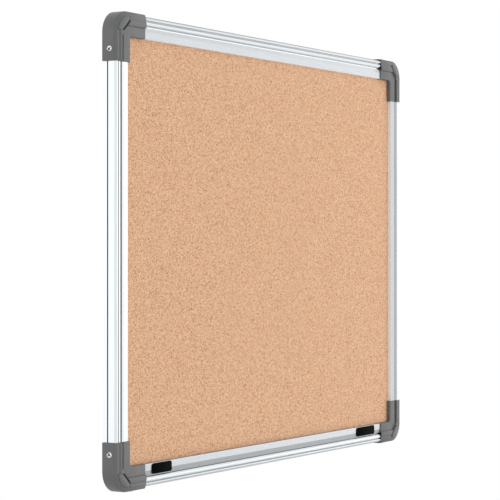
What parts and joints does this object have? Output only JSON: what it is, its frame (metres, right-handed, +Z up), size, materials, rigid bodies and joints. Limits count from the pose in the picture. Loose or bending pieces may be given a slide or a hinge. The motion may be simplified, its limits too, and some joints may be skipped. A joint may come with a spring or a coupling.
{
  "type": "cork bulletin board",
  "caption": "Wall-hung cork bulletin board in an aluminium rail frame with moulded plastic corners, whose clip-on covers hide the wall-fixing holes.",
  "frame": {"origin": "centre of the four wall-fixing holes, on the back plane that meets the wall", "axes": "+X to the viewer's right along the width, +Y from the front to the wall, +Z up"},
  "size_m": [0.6068, 0.0157, 0.4568],
  "materials": {
    "aluminium": "satin anodised extrusion",
    "corner_plastic": "satin mid grey moulding",
    "screw_steel": "bright zinc plate",
    "cork": "fine-grained pressed cork, unsealed",
    "core_board": "raw softboard",
    "back_sheet": "thin grey fibreboard",
    "plate_black": "gloss black, blank"
  },
  "bodies": {
    "frame": {"rail_top": "aluminium", "rail_bottom": "aluminium", "rail_left": "aluminium", "rail_right": "aluminium", "corner_top_left": "corner_plastic", "corner_top_right": "corner_plastic", "corner_bottom_left": "corner_plastic", "corner_bottom_right": "corner_plastic", "side_rail_screws": "screw_steel", "cross_rail_screws": "screw_steel", "cork_sheet": "cork", "core_board": "core_board", "back_sheet": "back_sheet", "left_plate": "plate_black", "right_plate": "plate_black"},
    "cover_top_left_body": {"cover_top_left": "corner_plastic"},
    "cover_top_right_body": {"cover_top_right": "corner_plastic"},
    "cover_bottom_left_body": {"cover_bottom_left": "corner_plastic"},
    "cover_bottom_right_body": {"cover_bottom_right": "corner_plastic"}
  },
  "joints": [
    {"name": "cover_top_left_pull", "type": "slide", "parent": "frame", "child": "cover_top_left_body", "axis": [0, -1, 0], "range_m": [0, 0.02]},
    {"name": "cover_top_right_pull", "type": "slide", "parent": "frame", "child": "cover_top_right_body", "axis": [0, -1, 0], "range_m": [0, 0.02]},
    {"name": "cover_bottom_left_pull", "type": "slide", "parent": "frame", "child": "cover_bottom_left_body", "axis": [0, -1, 0], "range_m": [0, 0.02]},
    {"name": "cover_bottom_right_pull", "type": "slide", "parent": "frame", "child": "cover_bottom_right_body", "axis": [0, -1, 0], "range_m": [0, 0.02]}
  ]
}
